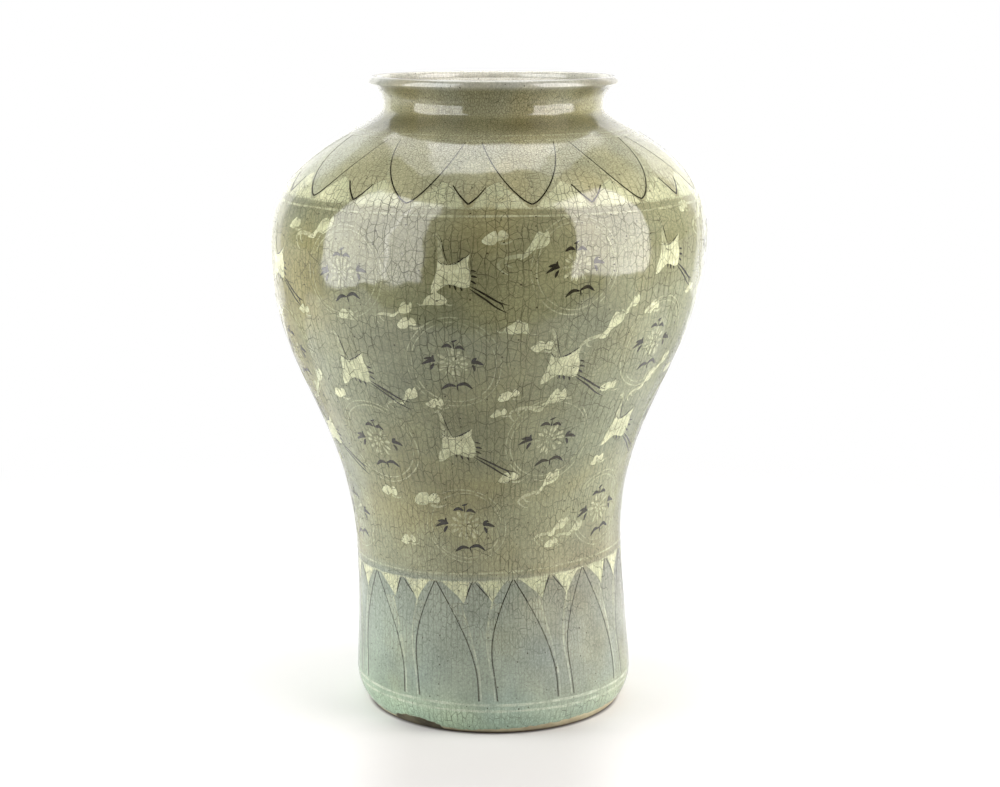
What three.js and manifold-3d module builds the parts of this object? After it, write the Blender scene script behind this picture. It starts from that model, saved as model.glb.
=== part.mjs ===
// A wide-shouldered celadon vase: thrown stoneware sections joined with slip, and white clay inlaid flush in
// recesses carved into their walls. Millimetres, +Z up. The Z axis passes through the middle of the belly, and
// z = 0 is the surface that the foot stands on. Angle 0 faces -Y, the front, and angles grow towards +X.
import * as THREE from 'three';
import { mergeVertices } from 'three/addons/utils/BufferGeometryUtils.js';
import Module from 'manifold-3d';

// Outer form: the radius of each station from the foot up, and its rise above the station below it
const footRadius = 75;
const skirtRadius = 84;
const skirtRise = 21;
const waistRadius = 80.8;
const waistRise = 77;
const bellyRadius = 129.8;
const bellyRise = 187;
const neckRadius = 65;
const neckRise = 77;
const collarRise = 6;
const lipRadius = 73.2;
const lipRise = 8.2;
const crestInset = 3.2;
const crestRise = 3.8;

// Sideways bow of the hand-thrown body between foot and rim, towards -X
const bodyBow = 5.6;

// Walls, floor and foot
const wallThickness = 6;
const floorThickness = 9;
const footHeight = 8;
const footWidth = 10.5;
const floorLedge = 8;
const heelRise = 12;

// Luted seams: the height of each above a station, with a tongue on the lower section that enters the upper one
const bodySeamAboveWaist = 54;
const neckSeamBelowNeck = 4;
const tongueWidth = 2;
const tongueHeight = 2;
const fitGap = 0.3;

// Inlays: their depth in the wall, and the width of the lines that run all round
const inlayDepth = 1;
const lineWidth = 1.1;
const neckLineWidth = 0.7;

// Places of the lines, and the tilt of the hand-drawn lappet band and crane lattice, right side up
const footLineBelowSkirt = 0.8;
const footLinePitch = 4;
const lappetLineBelowWaist = 3.6;
const lappetLinePitch = 4.6;
const shoulderLineAboveBelly = 25;
const petalBaseAboveLine = 4;
const neckLineBelowNeck = 12;
const neckLinePitch = 2.4;
const bandTilt = THREE.MathUtils.degToRad(2.5);

// White ground between the petals on the shoulder
const petalCount = 11;
const petalAngle = THREE.MathUtils.degToRad(10.8);
const petalGroundRise = 12;
const petalTipWidth = 1.5;

// White ground between the lappets above the foot
const lappetCount = 11;
const lappetAngle = THREE.MathUtils.degToRad(10.2);
const lappetTipWidth = 2;
const spandrelDrop = 14;
const spandrelTipWidth = 2;

// Flying cranes, in a staggered lattice between the lappets and the shoulder line; their rows are drawn a little
// under their places, the middle one most
const columnCount = 12;
const columnAngle = THREE.MathUtils.degToRad(-8);
const rowCount = 4;
const fieldMargin = 29.5;
const craneDrop = 1;
const craneSag = 5;
const craneSpan = 23;
const craneHeight = 33;

// Facets: segments round the vase, and steps along each stretch of the outer and inner outline
const segments = 32;
const outerSteps = [3, 2, 6, 7, 1, 3, 2];
const innerSteps = [1, 2, 4, 5, 1, 2, 1];

// Heights that follow from the stations
const skirtHeight = skirtRise;
const waistHeight = skirtHeight + waistRise;
const bellyHeight = waistHeight + bellyRise;
const neckHeight = bellyHeight + neckRise;
const collarHeight = neckHeight + collarRise;
const lipHeight = collarHeight + lipRise;
const crestHeight = lipHeight + crestRise;
const crestRadius = lipRadius - crestInset;
const floorTop = footHeight + floorThickness;
const bodySeam = waistHeight + bodySeamAboveWaist;
const neckSeam = neckHeight - neckSeamBelowNeck;
const lappetLine = waistHeight - lappetLineBelowWaist;
const shoulderLine = bellyHeight + shoulderLineAboveBelly;
const petalBase = shoulderLine + petalBaseAboveLine;

const wasm = await Module();
wasm.setup();

const stoneware = new THREE.MeshStandardMaterial({ color: 0x8c917c, roughness: 0.25, metalness: 0 });
const bareClay = new THREE.MeshStandardMaterial({ color: 0x8d7b5e, roughness: 0.85, metalness: 0 });
const whiteSlip = new THREE.MeshStandardMaterial({ color: 0xd3d3b4, roughness: 0.25, metalness: 0 });

// Curves

// A stretch that leaves one station and reaches the next upright; each pull is the share of the rise that it keeps so
function uprightStretch(lowRadius, lowHeight, highRadius, highHeight, lowPull, highPull) {
  const rise = highHeight - lowHeight;
  return new THREE.CubicBezierCurve(
    new THREE.Vector2(lowRadius, lowHeight),
    new THREE.Vector2(lowRadius, lowHeight + lowPull * rise),
    new THREE.Vector2(highRadius, highHeight - highPull * rise),
    new THREE.Vector2(highRadius, highHeight),
  );
}

// The foot's curve springs outwards from the standing edge and turns upright at the skirt
function footStretch() {
  const flare = 0.63;
  const springRise = 0.24;
  const uprightFrom = 0.57;
  return new THREE.CubicBezierCurve(
    new THREE.Vector2(footRadius, 0),
    new THREE.Vector2(footRadius + flare * (skirtRadius - footRadius), springRise * skirtHeight),
    new THREE.Vector2(skirtRadius, uprightFrom * skirtHeight),
    new THREE.Vector2(skirtRadius, skirtHeight),
  );
}

// A quarter turn from an upright side to the level crest
function crestStretch(sideRadius, sideHeight) {
  const roundness = 0.55;
  return new THREE.CubicBezierCurve(
    new THREE.Vector2(sideRadius, sideHeight),
    new THREE.Vector2(sideRadius, sideHeight + roundness * (crestHeight - sideHeight)),
    new THREE.Vector2(crestRadius + roundness * (sideRadius - crestRadius), crestHeight),
    new THREE.Vector2(crestRadius, crestHeight),
  );
}

const bodyStretches = [
  footStretch(),
  uprightStretch(skirtRadius, skirtHeight, waistRadius, waistHeight, 0.16, 0.55),
  uprightStretch(waistRadius, waistHeight, bellyRadius, bellyHeight, 0.44, 0.4),
  uprightStretch(bellyRadius, bellyHeight, neckRadius, neckHeight, 0.72, 0.14),
  uprightStretch(neckRadius, neckHeight, neckRadius, collarHeight, 0.33, 0.33),
];
const outerStretches = [
  ...bodyStretches,
  uprightStretch(neckRadius, collarHeight, lipRadius, lipHeight, 0.75, 0.1),
  crestStretch(lipRadius, lipHeight),
];

const neckBore = neckRadius - wallThickness;
const lipBore = lipRadius - wallThickness;
const innerRimStretches = [
  uprightStretch(neckBore, collarHeight, lipBore, lipHeight, 0.75, 0.1),
  crestStretch(lipBore, lipHeight),
];

// Points along the stretches, set in from them along their normals
function trace(stretches, steps, inset) {
  const points = [];
  stretches.forEach((stretch, number) => {
    const first = number === 0 ? 0 : 1;
    for (let step = first; step <= steps[number]; step++) {
      const share = step / steps[number];
      const point = stretch.getPoint(share);
      const along = stretch.getTangent(share);
      points.push(new THREE.Vector2(point.x - inset * along.y, point.y + inset * along.x));
    }
  });
  return points;
}

const outerLine = trace(outerStretches, outerSteps, 0);
const innerLine = [
  ...trace(bodyStretches, innerSteps, wallThickness),
  ...trace(innerRimStretches, innerSteps.slice(bodyStretches.length), 0).slice(1),
];

function radiusAt(line, height) {
  const upper = line.findIndex((point) => point.y >= height);
  const above = line[Math.max(upper, 1)];
  const below = line[Math.max(upper, 1) - 1];
  const share = (height - below.y) / (above.y - below.y);
  return below.x + share * (above.x - below.x);
}

// The part of a line between two heights, bottom first
function between(line, low, high) {
  const margin = 0.2;
  const inside = line.filter((point) => point.y > low + margin && point.y < high - margin);
  const bottom = new THREE.Vector2(radiusAt(line, low), low);
  const top = new THREE.Vector2(radiusAt(line, high), high);
  return [bottom, ...inside, top];
}

// Solids

function toSolid(geometry) {
  geometry.deleteAttribute('normal');
  geometry.deleteAttribute('uv');
  const merged = mergeVertices(geometry);
  const corners = Array.from(merged.index.array);
  const triangles = [];
  for (let at = 0; at < corners.length; at += 3) {
    const [a, b, c] = corners.slice(at, at + 3);
    if (a !== b && b !== c && c !== a) {
      triangles.push(a, b, c);
    }
  }
  return new wasm.Manifold(new wasm.Mesh({
    numProp: 3,
    vertProperties: Float32Array.from(merged.attributes.position.array),
    triVerts: Uint32Array.from(triangles),
  }));
}

function turned(points, closed = true) {
  const outline = closed ? [...points, points[0].clone()] : points;
  return toSolid(new THREE.LatheGeometry(outline, segments).rotateX(Math.PI / 2));
}

// How far the bowed body's centre stands from the Z axis at a height
function axisOffset(height) {
  const bowAt = (z) => Math.sin(Math.PI * z / crestHeight) ** 2;
  return bodyBow * (bowAt(bellyHeight) - bowAt(height));
}

function toMesh(name, body, material) {
  const data = body.getMesh();
  const geometry = new THREE.BufferGeometry();
  const positions = Float32Array.from(data.vertProperties);
  for (let at = 0; at < positions.length; at += 3) {
    positions[at] += axisOffset(positions[at + 2]);
  }
  geometry.setAttribute('position', new THREE.BufferAttribute(positions, 3));
  geometry.setIndex(Array.from(data.triVerts));
  geometry.computeVertexNormals();
  const mesh = new THREE.Mesh(geometry, material);
  mesh.name = name;
  return mesh;
}

// Body sections

// The middle of the wall at the tongue that crosses a seam
function tongueRadius(seam) {
  const height = seam + tongueHeight / 2;
  return (radiusAt(outerLine, height) + radiusAt(innerLine, height)) / 2;
}

// The corners of the tongue on the lower section, from the outside in, or of its slot with a clearance all round
function tongueCorners(seam, clearance) {
  const middle = tongueRadius(seam);
  const half = tongueWidth / 2 + clearance;
  const top = seam + tongueHeight + clearance;
  return [
    new THREE.Vector2(middle + half, seam),
    new THREE.Vector2(middle + half, top),
    new THREE.Vector2(middle - half, top),
    new THREE.Vector2(middle - half, seam),
  ];
}

const footBore = footRadius - footWidth;
const floorRadius = footBore + floorLedge;

function makeFootRing() {
  return turned([
    new THREE.Vector2(footBore, 0),
    ...between(outerLine, 0, footHeight),
    new THREE.Vector2(footBore, footHeight),
  ]);
}

function makeBaseFloor() {
  return turned([
    new THREE.Vector2(0, footHeight),
    new THREE.Vector2(floorRadius, footHeight),
    new THREE.Vector2(floorRadius, floorTop),
    new THREE.Vector2(0, floorTop),
  ], false);
}

function makeLowerWall() {
  const heel = floorRadius + fitGap;
  return turned([
    new THREE.Vector2(heel, footHeight),
    ...between(outerLine, footHeight, bodySeam),
    ...tongueCorners(bodySeam, 0),
    ...between(innerLine, floorTop + heelRise, bodySeam).reverse(),
    new THREE.Vector2(heel, floorTop),
  ]);
}

function makeUpperWall() {
  return turned([
    ...between(outerLine, bodySeam, neckSeam),
    ...tongueCorners(neckSeam, 0),
    ...between(innerLine, bodySeam, neckSeam).reverse(),
    ...tongueCorners(bodySeam, fitGap).reverse(),
  ]);
}

function makeNeck() {
  return turned([
    ...between(outerLine, neckSeam, crestHeight),
    ...between(innerLine, neckSeam, crestHeight).slice(0, -1).reverse(),
    ...tongueCorners(neckSeam, fitGap).reverse(),
  ]);
}

// Inlays

// Cutters reach from inside the wall's core to well outside the vase
const formBore = 0.5 * neckBore;
const cutterBore = 0.75 * neckBore;
const cutterReach = 1.5 * bellyRadius;

// The vase filled solid from a bore on the axis out to its surface, or to a depth under it
function filledForm(depth) {
  const line = trace(outerStretches, outerSteps, depth);
  return turned([
    new THREE.Vector2(formBore, line[0].y),
    ...line,
    new THREE.Vector2(formBore, line[line.length - 1].y),
  ]);
}

const fullForm = filledForm(0);
const inlayCore = filledForm(inlayDepth);
const pocketCore = filledForm(inlayDepth + fitGap);

// A flat washer that cuts a line all round
function lineCutter(height, width, tilt) {
  const sides = 8;
  const washer = new THREE.LatheGeometry([
    new THREE.Vector2(cutterBore, -width / 2),
    new THREE.Vector2(cutterReach, -width / 2),
    new THREE.Vector2(cutterReach, width / 2),
    new THREE.Vector2(cutterBore, width / 2),
    new THREE.Vector2(cutterBore, -width / 2),
  ], sides).rotateX(Math.PI / 2);
  return toSolid(washer.rotateY(-tilt).translate(0, 0, height));
}

// An outline moved out from its edges by a distance, with mitred corners
function grow(points, distance) {
  return points.map((point, number) => {
    const before = points[(number + points.length - 1) % points.length];
    const after = points[(number + 1) % points.length];
    const inward = point.clone().sub(before).normalize();
    const outward = after.clone().sub(point).normalize();
    const mitre = new THREE.Vector2(inward.y + outward.y, -inward.x - outward.x);
    const sharpest = 0.1;
    const stretch = distance / Math.max(1 + inward.dot(outward), sharpest);
    return point.clone().addScaledVector(mitre, stretch);
  });
}

// An outline set against the vase at an angle and height, leaning with its band, and carried towards the axis
function motifCutter(points, angle, height, tilt) {
  const radius = radiusAt(outerLine, height);
  const depth = cutterReach - cutterBore;
  const geometry = new THREE.ExtrudeGeometry(new THREE.Shape(points), { depth, bevelEnabled: false });
  geometry.rotateZ(tilt * Math.cos(angle));
  geometry.translate(0, height + radius * Math.sin(angle) * Math.tan(tilt), cutterBore);
  geometry.rotateX(Math.PI / 2);
  geometry.rotateZ(angle);
  return toSolid(geometry);
}

// Each inlay keeps its own body and the pocket that the walls lose for it
const inlays = [];

function addInlay(name, cutter, grownCutter) {
  inlays.push({
    name,
    body: cutter.intersect(fullForm).subtract(inlayCore),
    pocket: grownCutter.subtract(pocketCore),
  });
}

function addLine(name, height, width, tilt) {
  addInlay(name, lineCutter(height, width, tilt), lineCutter(height, width + 2 * fitGap, tilt));
}

// A line with motifs that grow out of it, as one body of slip
function addGround(name, height, tilt, outlines) {
  const join = (clearance) => outlines.reduce(
    (body, { points, angle }) => body.add(motifCutter(grow(points, clearance), angle, height, tilt)),
    lineCutter(height, lineWidth + 2 * clearance, tilt),
  );
  addInlay(name, join(0), join(fitGap));
}

// Places two by two round the vase: one on each side of every tip, half way to the next
function besideEachTip(count, firstAngle, makePoints) {
  const halfPitch = Math.PI / count;
  const outlines = [];
  for (let number = 0; number < count; number++) {
    for (const side of [-1, 1]) {
      const angle = firstAngle + 2 * halfPitch * number + side * halfPitch / 2;
      outlines.push({ points: makePoints(side), angle });
    }
  }
  return outlines;
}

// The white triangles between a large petal's tip and the small tips on both sides of it
function petalOutlines() {
  const halfPitch = Math.PI / petalCount * radiusAt(outerLine, petalBase);
  const halfBase = halfPitch / 2 - petalTipWidth;
  const apexShift = 0.16 * halfPitch;
  return besideEachTip(petalCount, petalAngle, (side) => [
    new THREE.Vector2(-halfBase, 0),
    new THREE.Vector2(halfBase, 0),
    new THREE.Vector2(side * apexShift, petalGroundRise),
  ]);
}

// The white spandrels that hang between a large lappet's tip and the small tips on both sides of it
function spandrelOutlines() {
  const halfPitch = Math.PI / lappetCount * radiusAt(outerLine, lappetLine);
  const halfTop = halfPitch / 2 - lappetTipWidth;
  const tipShift = 0.12 * halfPitch;
  return besideEachTip(lappetCount, lappetAngle, (side) => [
    new THREE.Vector2(-halfTop, 0),
    new THREE.Vector2(side * tipShift - spandrelTipWidth / 2, -spandrelDrop),
    new THREE.Vector2(side * tipShift + spandrelTipWidth / 2, -spandrelDrop),
    new THREE.Vector2(halfTop, 0),
  ]);
}

// A crane in flight: neck stretched up, one wing raised behind it and one lowered in front
function craneOutline() {
  const at = (across, up) => new THREE.Vector2(across * craneSpan, up * craneHeight);
  const breast = at(-0.4, 0.08);
  const frontWingTip = at(-0.54, -0.3);
  const belly = at(-0.12, -0.15);
  const tail = at(0.37, -0.2);
  const backWingTip = at(0.38, 0.34);
  const shoulder = at(-0.14, 0.18);
  const nape = at(-0.28, 0.42);
  const crown = at(-0.36, 0.7);
  const beak = at(-0.52, 0.66);
  const throat = at(-0.41, 0.44);
  return [breast, frontWingTip, belly, tail, backWingTip, shoulder, nape, crown, beak, throat];
}

// Cranes stand on every second place of the lattice, above its lowest row
function addCranes() {
  const points = craneOutline();
  const low = lappetLine + lappetLinePitch + fieldMargin;
  const high = shoulderLine - fieldMargin;
  let count = 0;
  for (let row = 1; row < rowCount; row++) {
    const drop = craneDrop + craneSag * Math.sin(Math.PI * (row - 1) / (rowCount - 2));
    const height = low + (high - low) * row / (rowCount - 1) - drop;
    for (let column = (row + 1) % 2; column < columnCount; column += 2) {
      const angle = columnAngle + 2 * Math.PI * column / columnCount;
      count += 1;
      addInlay(
        `crane_${String(count).padStart(2, '0')}`,
        motifCutter(points, angle, height, bandTilt),
        motifCutter(grow(points, fitGap), angle, height, bandTilt),
      );
    }
  }
}

addLine('foot_line_lower', skirtHeight - footLineBelowSkirt - footLinePitch, lineWidth, 0);
addLine('foot_line_upper', skirtHeight - footLineBelowSkirt, lineWidth, 0);
addGround('lappet_ground', lappetLine, bandTilt, spandrelOutlines());
addLine('lappet_line_upper', lappetLine + lappetLinePitch, lineWidth, bandTilt);
addLine('shoulder_line', shoulderLine, lineWidth, 0);
addGround('petal_ground', petalBase, 0, petalOutlines());
addLine('neck_line_lower', neckHeight - neckLineBelowNeck - neckLinePitch, neckLineWidth, 0);
addLine('neck_line_upper', neckHeight - neckLineBelowNeck, neckLineWidth, 0);
addCranes();

const vase = new THREE.Group();

function addSection(name, body, material) {
  const carved = inlays.reduce((wall, { pocket }) => wall.subtract(pocket), body);
  vase.add(toMesh(name, carved, material));
}

addSection('foot_ring', makeFootRing(), bareClay);
addSection('base_floor', makeBaseFloor(), stoneware);
addSection('lower_wall', makeLowerWall(), stoneware);
addSection('upper_wall', makeUpperWall(), stoneware);
addSection('neck', makeNeck(), stoneware);
for (const { name, body } of inlays) {
  vase.add(toMesh(name, body, whiteSlip));
}

export default vase;
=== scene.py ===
"""Looks of a wide-shouldered celadon vase: crazed glaze over white and black slip inlay, on a white sweep.

Sizes are in millimetres until they become mesh points. Angle 0 faces -Y, the front, and angles grow to +X.
"""
import math
import random
from bisect import bisect_right

import bpy
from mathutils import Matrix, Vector
from mathutils.geometry import delaunay_2d_cdt


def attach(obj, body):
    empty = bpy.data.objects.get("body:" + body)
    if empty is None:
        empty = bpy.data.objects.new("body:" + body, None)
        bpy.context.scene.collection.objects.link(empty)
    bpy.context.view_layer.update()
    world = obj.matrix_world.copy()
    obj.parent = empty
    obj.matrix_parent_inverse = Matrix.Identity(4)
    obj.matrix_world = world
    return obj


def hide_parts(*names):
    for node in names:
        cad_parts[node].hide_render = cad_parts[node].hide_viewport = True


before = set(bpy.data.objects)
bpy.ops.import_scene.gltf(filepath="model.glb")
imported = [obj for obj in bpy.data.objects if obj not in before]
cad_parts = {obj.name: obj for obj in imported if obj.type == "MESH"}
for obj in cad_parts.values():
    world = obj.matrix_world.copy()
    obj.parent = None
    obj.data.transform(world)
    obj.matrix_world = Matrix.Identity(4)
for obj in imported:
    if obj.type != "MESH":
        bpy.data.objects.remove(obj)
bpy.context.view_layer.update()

MM = 0.001

# Outer form: the radius and height of each station from the foot up
FOOT_RADIUS = 75
SKIRT_RADIUS, SKIRT_HEIGHT = 84, 21
WAIST_RADIUS, WAIST_HEIGHT = 80.8, 98
BELLY_RADIUS, BELLY_HEIGHT = 129.8, 285
NECK_RADIUS, NECK_HEIGHT = 65, 362
COLLAR_HEIGHT = 364
LIP_RADIUS, LIP_HEIGHT = 74.3, 376.2
CREST_RADIUS, CREST_HEIGHT = 70.8, 380
BODY_BOW = 5.6

# Walls, floor, foot and the seams between the thrown sections
WALL, FIT_GAP = 6, 0.3
FOOT_HEIGHT, FOOT_WIDTH, FOOT_CHAMFER = 8, 10.5, 1.2
FLOOR_LEDGE, FLOOR_THICKNESS, HEEL_RISE = 8, 9, 12
FOOT_BORE = FOOT_RADIUS - FOOT_WIDTH
FLOOR_RADIUS, FLOOR_TOP = FOOT_BORE + FLOOR_LEDGE, FOOT_HEIGHT + FLOOR_THICKNESS
HEEL_RADIUS, HEEL_TOP = FLOOR_RADIUS + FIT_GAP, FLOOR_TOP + HEEL_RISE
BODY_SEAM = WAIST_HEIGHT + 54
NECK_SEAM = NECK_HEIGHT - 4

# Bands of inlay, set off from the stations, and the rows of motifs between the lappets and the shoulder
BAND_TILT = math.radians(2.5)
LINE_WIDTH, NECK_LINE_WIDTH, FOOT_LINE_WIDTH = 1.1, 0.7, 1.5
FOOT_LINES = (SKIRT_HEIGHT - 4.8, SKIRT_HEIGHT - 0.8)
LAPPET_LINE = WAIST_HEIGHT - 3.6
LAPPET_LINE_UPPER = LAPPET_LINE + 4.6
SHOULDER_LINE = BELLY_HEIGHT + 25
PETAL_BASE = SHOULDER_LINE + 4
NECK_LINES = (NECK_HEIGHT - 14.4, NECK_HEIGHT - 12)
PETAL_COUNT, PETAL_ANGLE = 11, 10.8
LAPPET_COUNT, LAPPET_ANGLE = 11, 10.2
COLUMN_COUNT, COLUMN_ANGLE = 12, -8
ROW_COUNT, ROW_MARGIN = 4, 29.5
LOWEST_ROW, HIGHEST_ROW = LAPPET_LINE_UPPER + ROW_MARGIN, SHOULDER_LINE - ROW_MARGIN
ROW_PITCH = (HIGHEST_ROW - LOWEST_ROW) / (ROW_COUNT - 1)
ROW_HEIGHTS = [round(LOWEST_ROW + ROW_PITCH * row, 2) for row in range(ROW_COUNT)]
CRANE_DROPS = (0, 1, 6, 1)

# Fineness of the meshes, and how the slip sits in the wall
SEGMENTS = 240
SLIP_LIFT = 0.07
SLIP_DEPTH = 0.5
FILL_CELL = 2.2
PATH_STEP = 1.0

# The unevenness of the hand that draws
hand = random.Random(7)


# Outline of the vase

def bezier(corners, steps):
    """Points along a cubic curve with their outward normals, as (radius, height, out, up)."""
    line = []
    for step in range(steps + 1):
        t = step / steps
        s = 1 - t
        weights = (s ** 3, 3 * s * s * t, 3 * s * t * t, t ** 3)
        slopes = (-s * s, s * s - 2 * s * t, 2 * s * t - t * t, t * t)
        radius, height = (sum(w * c[axis] for w, c in zip(weights, corners)) for axis in (0, 1))
        outward, upward = (sum(w * c[axis] for w, c in zip(slopes, corners)) for axis in (0, 1))
        length = math.hypot(outward, upward)
        line.append((radius, height, upward / length, -outward / length))
    return line


def upright(low_radius, low_height, high_radius, high_height, low_pull, high_pull):
    """Corners of a stretch that leaves one station and reaches the next upright."""
    rise = high_height - low_height
    return (
        (low_radius, low_height),
        (low_radius, low_height + low_pull * rise),
        (high_radius, high_height - high_pull * rise),
        (high_radius, high_height),
    )


def crest_turn(side_radius):
    """Corners of the quarter turn from an upright side of the lip to its level crest."""
    roundness = 0.55
    return (
        (side_radius, LIP_HEIGHT),
        (side_radius, LIP_HEIGHT + roundness * (CREST_HEIGHT - LIP_HEIGHT)),
        (CREST_RADIUS + roundness * (side_radius - CREST_RADIUS), CREST_HEIGHT),
        (CREST_RADIUS, CREST_HEIGHT),
    )


FOOT_TURN = (
    (FOOT_RADIUS, 0),
    (FOOT_RADIUS + 0.63 * (SKIRT_RADIUS - FOOT_RADIUS), 0.24 * SKIRT_HEIGHT),
    (SKIRT_RADIUS, 0.57 * SKIRT_HEIGHT),
    (SKIRT_RADIUS, SKIRT_HEIGHT),
)


def chain(*stretches):
    """One line from curves that meet end to end."""
    line = []
    for corners, steps in stretches:
        line += bezier(corners, steps)[1 if line else 0:]
    return line


BODY_LINE = chain(
    (FOOT_TURN, 16),
    (upright(SKIRT_RADIUS, SKIRT_HEIGHT, WAIST_RADIUS, WAIST_HEIGHT, 0.16, 0.55), 30),
    (upright(WAIST_RADIUS, WAIST_HEIGHT, BELLY_RADIUS, BELLY_HEIGHT, 0.44, 0.4), 84),
    (upright(BELLY_RADIUS, BELLY_HEIGHT, NECK_RADIUS, NECK_HEIGHT, 0.72, 0.14), 56),
    (upright(NECK_RADIUS, NECK_HEIGHT, NECK_RADIUS, COLLAR_HEIGHT, 0.33, 0.33), 4),
)
RIM_LINE = chain(
    (upright(NECK_RADIUS, COLLAR_HEIGHT, LIP_RADIUS, LIP_HEIGHT, 0.66, 0.07), 16),
    (crest_turn(LIP_RADIUS), 10),
)
BORE_RIM_LINE = chain(
    (upright(NECK_RADIUS - WALL, COLLAR_HEIGHT, LIP_RADIUS - WALL, LIP_HEIGHT, 0.62, 0.1), 16),
    (crest_turn(LIP_RADIUS - WALL), 10),
)
OUTER_LINE = BODY_LINE + RIM_LINE[1:]
INNER_LINE = [(r - WALL * out, z - WALL * up, out, up) for r, z, out, up in BODY_LINE] + BORE_RIM_LINE[1:]
OUTER_HEIGHTS = [point[1] for point in OUTER_LINE]


def point_at(line, height):
    """The point of a line at a height, between the two points beside it."""
    heights = OUTER_HEIGHTS if line is OUTER_LINE else [point[1] for point in line]
    above = min(max(bisect_right(heights, height), 1), len(line) - 1)
    low, high = line[above - 1], line[above]
    share = (height - low[1]) / (high[1] - low[1])
    return tuple(a + share * (b - a) for a, b in zip(low, high))


def radius_at(height):
    return point_at(OUTER_LINE, height)[0]


def between(line, low, high):
    """The part of a line between two heights, bottom first."""
    margin = 0.1
    inside = [point for point in line if low + margin < point[1] < high - margin]
    return [point_at(line, low), *inside, point_at(line, high)]


def axis_offset(height):
    """How far the bowed body's centre stands from the Z axis."""
    belly_bow = math.sin(math.pi * BELLY_HEIGHT / CREST_HEIGHT) ** 2
    return BODY_BOW * (belly_bow - math.sin(math.pi * height / CREST_HEIGHT) ** 2)


def axis_lean(height):
    """The slope of the bowed axis towards +X."""
    return -BODY_BOW * math.pi / CREST_HEIGHT * math.sin(2 * math.pi * height / CREST_HEIGHT)


def turn_point(radius, height, angle):
    """A mesh point in metres from its place on an outline."""
    across = axis_offset(height) + radius * math.sin(angle)
    return MM * across, -MM * radius * math.cos(angle), MM * height


def turn_normal(out, up, height, angle):
    side = out * math.sin(angle)
    return Vector((side, -out * math.cos(angle), up - side * axis_lean(height))).normalized()


def on_vase(angle, height, lift):
    """A point over the outside of the vase, lifted along its normal, and that normal."""
    radius, _, out, up = point_at(OUTER_LINE, height)
    point = turn_point(radius + lift * out, height + lift * up, angle)
    return point, turn_normal(out, up, height, angle)


# Pieces

def add_piece(name, points, faces, normals, material, *nodes):
    """A mesh that rides on the vase, with a normal for each corner of each face.
    """
    mesh = bpy.data.meshes.new(name)
    mesh.from_pydata(points, [], faces)
    mesh.polygons.foreach_set("use_smooth", [True] * len(faces))
    mesh.normals_split_custom_set(normals)
    mesh.materials.append(material)
    piece = bpy.data.objects.new(name, mesh)
    bpy.context.scene.collection.objects.link(piece)
    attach(piece, "root")
    if nodes:
        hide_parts(*nodes)


def flat_runs(*corners):
    """Straight stretches of an outline from corner to corner, each with its normal to the right of its way."""
    runs = []
    for start, end in zip(corners, corners[1:]):
        outward, upward = end[0] - start[0], end[1] - start[1]
        length = math.hypot(outward, upward)
        normal = (upward / length, -outward / length)
        runs.append([(*start[:2], *normal), (*end[:2], *normal)])
    return runs


def reverse_run(line):
    """A line followed the other way round, facing the other side."""
    return [(radius, height, -out, -up) for radius, height, out, up in reversed(line)]


def turned_piece(name, runs, material, node):
    """A closed body turned about the bowed axis. Each run of its outline starts where the last one ends."""
    rings = [point[:2] for run in runs for point in run[:-1]]
    if rings[0][0] == 0:
        rings.append(runs[-1][-1][:2])
    angles = [2 * math.pi * step / SEGMENTS for step in range(SEGMENTS)]
    points, firsts = [], []
    for radius, height in rings:
        firsts.append(len(points))
        turns = angles if radius > 0 else angles[:1]
        points += [turn_point(radius, height, angle) for angle in turns]
    faces, normals = [], []
    number = 0
    for run in runs:
        for low, high in zip(run, run[1:]):
            below, above = firsts[number], firsts[(number + 1) % len(rings)]
            low_normals = [turn_normal(low[2], low[3], low[1], angle) for angle in angles]
            high_normals = [turn_normal(high[2], high[3], high[1], angle) for angle in angles]
            for step in range(SEGMENTS):
                after = (step + 1) % SEGMENTS
                low_corners = [(below + step, low_normals[step]), (below + after, low_normals[after])]
                high_corners = [(above + after, high_normals[after]), (above + step, high_normals[step])]
                if low[0] == 0:
                    low_corners = [(below, low_normals[step])]
                elif high[0] == 0:
                    high_corners = [(above, high_normals[step])]
                corners = low_corners + high_corners
                faces.append([corner for corner, _ in corners])
                normals += [normal for _, normal in corners]
            number += 1
    add_piece(name, points, faces, normals, material, node)


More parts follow.
